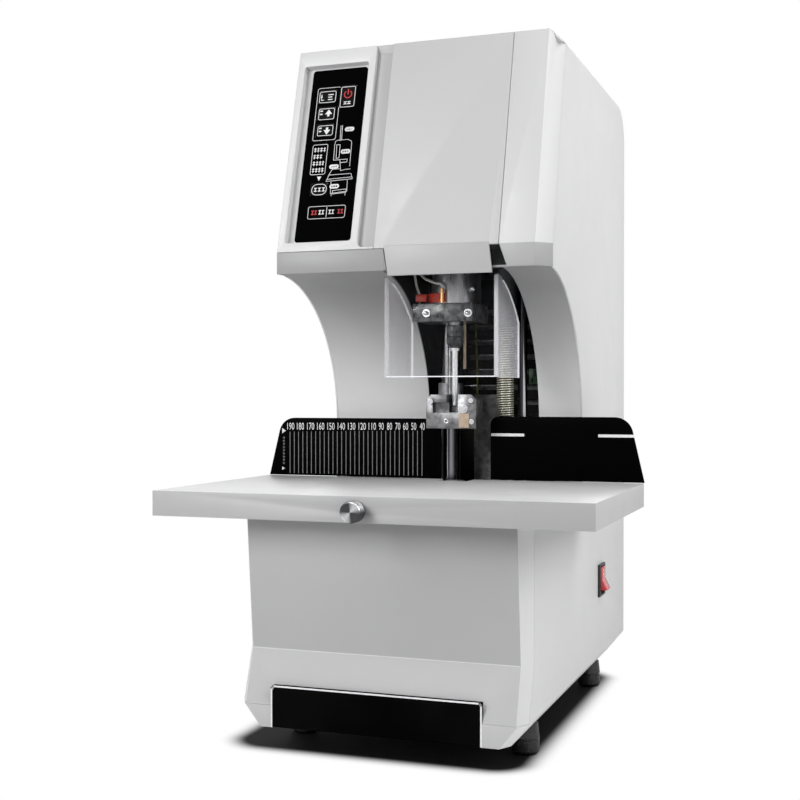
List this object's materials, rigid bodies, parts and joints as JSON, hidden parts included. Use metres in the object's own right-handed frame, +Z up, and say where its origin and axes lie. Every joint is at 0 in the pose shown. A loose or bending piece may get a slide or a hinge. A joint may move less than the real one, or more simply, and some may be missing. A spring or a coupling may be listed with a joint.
{
  "type": "document riveting machine",
  "caption": "Desk machine that drills a paper stack and rivets it: C-shaped casing, work table with fences, drill unit under a clear shield, dust tray",
  "frame": {"origin": "on the desk, at the middle of the bounding box", "axes": "+X to the right, +Y to the back, +Z up"},
  "size_m": [0.4, 0.524, 0.67],
  "materials": {
    "shell_white": "satin powder coat",
    "panel_grey": "satin powder coat",
    "head_plastic": "fine satin",
    "black_gloss": "gloss",
    "black_matte": "matte",
    "key_black": "satin",
    "red_plastic": "gloss",
    "clear_shield": "clear",
    "dark_steel": "blackened",
    "bright_steel": "brushed",
    "polished_steel": "polished",
    "spring_steel": "oiled",
    "cast_frame": "painted casting",
    "bare_aluminium": "milled",
    "brass_part": "machined",
    "foot_rubber": "matte",
    "lead_silicone": "satin",
    "earth_green": "satin",
    "beige_wear": "satin",
    "board_green": "satin",
    "belt_rubber": "matte"
  },
  "bodies": {
    "root": {"base_pan": "shell_white", "base_front": "panel_grey", "side_panel_left": "shell_white", "side_panel_right": "shell_white", "rear_cover": "shell_white", "top_cover": "shell_white", "throat_cover": "shell_white", "control_bezel": "head_plastic", "membrane_panel": "black_gloss", "head_trim": "head_plastic", "hinge_leaf": "bright_steel", "bay_liner": "black_matte", "main_frame": "cast_frame", "bed_plate": "cast_frame", "work_table": "shell_white", "cutting_die": "dark_steel", "chip_chute": "bright_steel", "guide_column": "polished_steel", "spring_rod": "polished_steel", "return_spring": "spring_steel", "lift_motor": "dark_steel", "shield": "clear_shield", "rear_bracket": "cast_frame", "earth_lead": "earth_green", "power_supply": "bare_aluminium", "control_board": "board_green", "tray_runners": "bright_steel", "feet": "foot_rubber", "switch_body": "black_matte", "power_inlet": "black_matte"},
    "cover": {"front_cover": "head_plastic"},
    "drill_unit": {"carriage": "cast_frame", "spindle_housing": "bright_steel", "clamp_collar": "dark_steel", "set_screws": "polished_steel", "heater_insulator": "red_plastic", "heater_stud": "brass_part", "heater_leads": "lead_silicone", "depth_rod": "beige_wear", "drill_motor": "dark_steel", "drive_belt": "belt_rubber"},
    "spindle": {"spindle_shaft": "bright_steel", "chuck": "dark_steel", "drill_bit": "polished_steel"},
    "motor_rotor": {"motor_pulley": "bare_aluminium"},
    "presser": {"presser_block": "bare_aluminium", "wear_plate": "beige_wear", "presser_screws": "polished_steel"},
    "lift_screw": {"lift_screw": "polished_steel"},
    "fence": {"fence_left": "black_gloss", "fence_right": "black_gloss", "fence_carriage": "dark_steel"},
    "knob": {"adjust_knob": "bright_steel"},
    "tray": {"dust_tray": "black_matte"},
    "rocker": {"rocker": "red_plastic"},
    "key_reset": {"key_reset": "key_black"},
    "key_up": {"key_up": "key_black"},
    "key_down": {"key_down": "key_black"},
    "key_start": {"key_start": "key_black"},
    "key_mode": {"key_mode": "key_black"}
  },
  "joints": [
    {"name": "cover_hinge", "type": "hinge", "parent": "root", "child": "cover", "pos_m": [0.0265, -0.0696, 0.6682], "axis": [-1, 0, 0], "range_deg": [0, 75]},
    {"name": "carriage_slide", "type": "slide", "parent": "root", "child": "drill_unit", "axis": [0, 0, -1], "range_m": [0, 0.076], "deforming": ["return_spring"]},
    {"name": "spindle_spin", "type": "hinge", "parent": "drill_unit", "child": "spindle", "pos_m": [0.0135, -0.024, 0.4], "axis": [0, 0, 1], "continuous": true},
    {"name": "motor_spin", "type": "hinge", "parent": "drill_unit", "child": "motor_rotor", "pos_m": [0.066, -0.03, 0.6], "axis": [0, 0, 1], "continuous": true},
    {"name": "presser_slide", "type": "slide", "parent": "root", "child": "presser", "axis": [0, 0, -1], "range_m": [0, 0.0518]},
    {"name": "lift_screw_turn", "type": "hinge", "parent": "root", "child": "lift_screw", "pos_m": [0.071, 0.024, 0.4], "axis": [0, 0, 1], "range_deg": [0, 2737]},
    {"name": "fence_slide", "type": "slide", "parent": "root", "child": "fence", "axis": [0, -1, 0], "range_m": [-0.004, 0.004]},
    {"name": "knob_turn", "type": "hinge", "parent": "root", "child": "knob", "pos_m": [-0.0038, -0.25, 0.2284], "axis": [0, 1, 0], "range_deg": [-721, 721]},
    {"name": "tray_slide", "type": "slide", "parent": "root", "child": "tray", "axis": [0, -1, 0], "range_m": [0, 0.2]},
    {"name": "switch_rock", "type": "hinge", "parent": "root", "child": "rocker", "pos_m": [0.132, 0.115, 0.128], "axis": [0, 1, 0], "range_deg": [0, 28]},
    {"name": "key_reset_press", "type": "slide", "parent": "root", "child": "key_reset", "axis": [0, 0.965, -0.2623], "range_m": [0, 0.0005], "stiffness_N_per_m": 400},
    {"name": "key_up_press", "type": "slide", "parent": "root", "child": "key_up", "axis": [0, 0.965, -0.2623], "range_m": [0, 0.0005], "stiffness_N_per_m": 400},
    {"name": "key_down_press", "type": "slide", "parent": "root", "child": "key_down", "axis": [0, 0.965, -0.2623], "range_m": [0, 0.0005], "stiffness_N_per_m": 400},
    {"name": "key_start_press", "type": "slide", "parent": "root", "child": "key_start", "axis": [0, 0.965, -0.2623], "range_m": [0, 0.0005], "stiffness_N_per_m": 400},
    {"name": "key_mode_press", "type": "slide", "parent": "root", "child": "key_mode", "axis": [0, 0.965, -0.2623], "range_m": [0, 0.0005], "stiffness_N_per_m": 400}
  ],
  "couplings": [
    {"joint": "motor_spin", "follows": "spindle_spin", "ratio": 1.5},
    {"joint": "presser_slide", "follows": "carriage_slide", "ratio": 0.68026},
    {"joint": "lift_screw_turn", "follows": "carriage_slide", "rad_per_m": 628.32},
    {"joint": "knob_turn", "follows": "fence_slide", "rad_per_m": 3141.6}
  ]
}
